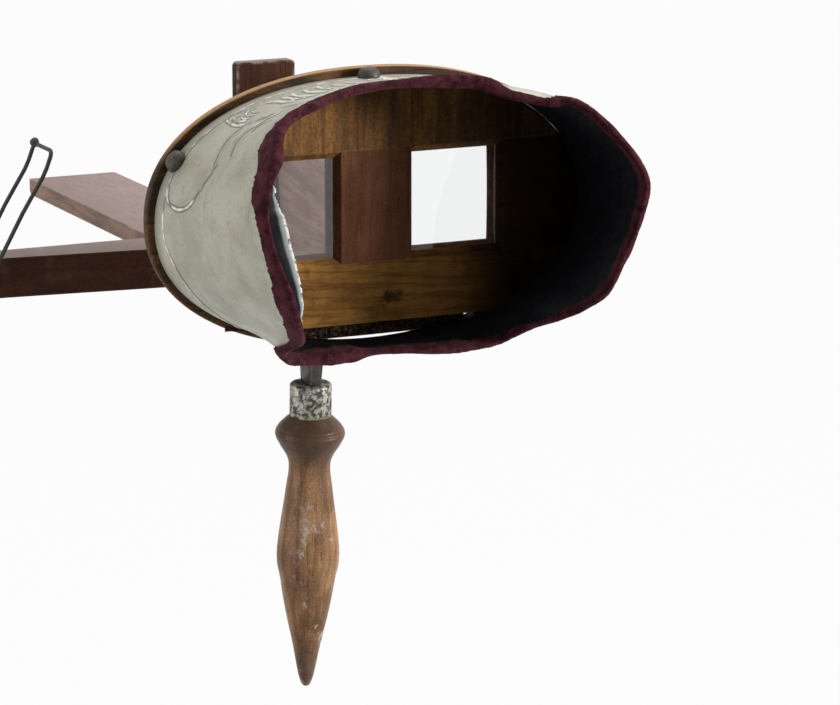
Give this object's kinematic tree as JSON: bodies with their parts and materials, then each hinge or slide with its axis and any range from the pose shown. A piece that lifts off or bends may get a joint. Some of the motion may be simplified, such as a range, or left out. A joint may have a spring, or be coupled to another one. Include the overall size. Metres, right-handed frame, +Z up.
{
  "type": "handheld stereoscope",
  "caption": "Handheld stereoscope: sheet-metal eye hood with velvet edge, half-lens windows, wooden shaft with septum, folding handle and a sliding card holder with wire clips.",
  "frame": {"origin": "underside of the shaft, on its centre line over the middle of the handle bracket", "axes": "+X to the viewer's right, +Y away from the eyes along the shaft, +Z up"},
  "size_m": [0.218, 0.4027, 0.2572],
  "materials": {
    "grey_wood": "old waxed walnut, dusty",
    "dark_wood": "old dark walnut, satin",
    "golden_wood": "golden-brown wood, satin",
    "red_wood": "reddish-brown wood, satin",
    "grip_wood": "turned wood, worn",
    "lens_glass": "clear polished glass",
    "hood_metal": "matt greenish grey sheet, embossed scrolls",
    "velvet": "worn maroon velvet",
    "dark_steel": "dark patinated steel",
    "grey_steel": "grey oxidised steel",
    "ferrule_metal": "mottled worn plating",
    "spring_brass": "dull brass"
  },
  "bodies": {
    "frame": {"shaft": "grey_wood", "rim_board": "dark_wood", "top_rail": "golden_wood", "bottom_rail": "golden_wood", "centre_stile": "red_wood", "left_stile": "golden_wood", "right_stile": "golden_wood", "left_lens": "lens_glass", "right_lens": "lens_glass", "left_lens_bead": "red_wood", "right_lens_bead": "red_wood", "hood": "hood_metal", "hood_binding": "velvet", "hood_tacks": "dark_steel", "septum_stem": "grey_wood", "septum_slat": "dark_wood", "septum_nails": "dark_steel", "septum_screws": "grey_steel", "handle_bracket": "grey_steel", "bracket_screws": "grey_steel", "hinge_pin": "grey_steel"},
    "handle": {"handle_tang": "grey_steel", "ferrule": "ferrule_metal", "grip": "grip_wood"},
    "card_holder": {"crossbar": "dark_wood", "keeper": "dark_wood", "keeper_screws": "grey_steel", "friction_spring": "spring_brass"},
    "left_clip": {"left_clip_wire": "dark_steel"},
    "right_clip": {"right_clip_wire": "dark_steel"}
  },
  "joints": [
    {"name": "card_holder_slide", "type": "slide", "parent": "frame", "child": "card_holder", "axis": [0, 1, 0], "range_m": [-0.028, 0.16]},
    {"name": "handle_fold", "type": "hinge", "parent": "frame", "child": "handle", "pos_m": [0, 0, -0.014], "axis": [1, 0, 0], "range_deg": [0, 80]},
    {"name": "left_clip_fold", "type": "hinge", "parent": "card_holder", "child": "left_clip", "pos_m": [-0.1025, 0.094, 0.0023], "axis": [0, 1, 0], "range_deg": [-80, 35]},
    {"name": "right_clip_fold", "type": "hinge", "parent": "card_holder", "child": "right_clip", "pos_m": [0.1025, 0.094, 0.0023], "axis": [0, -1, 0], "range_deg": [-80, 35]}
  ]
}
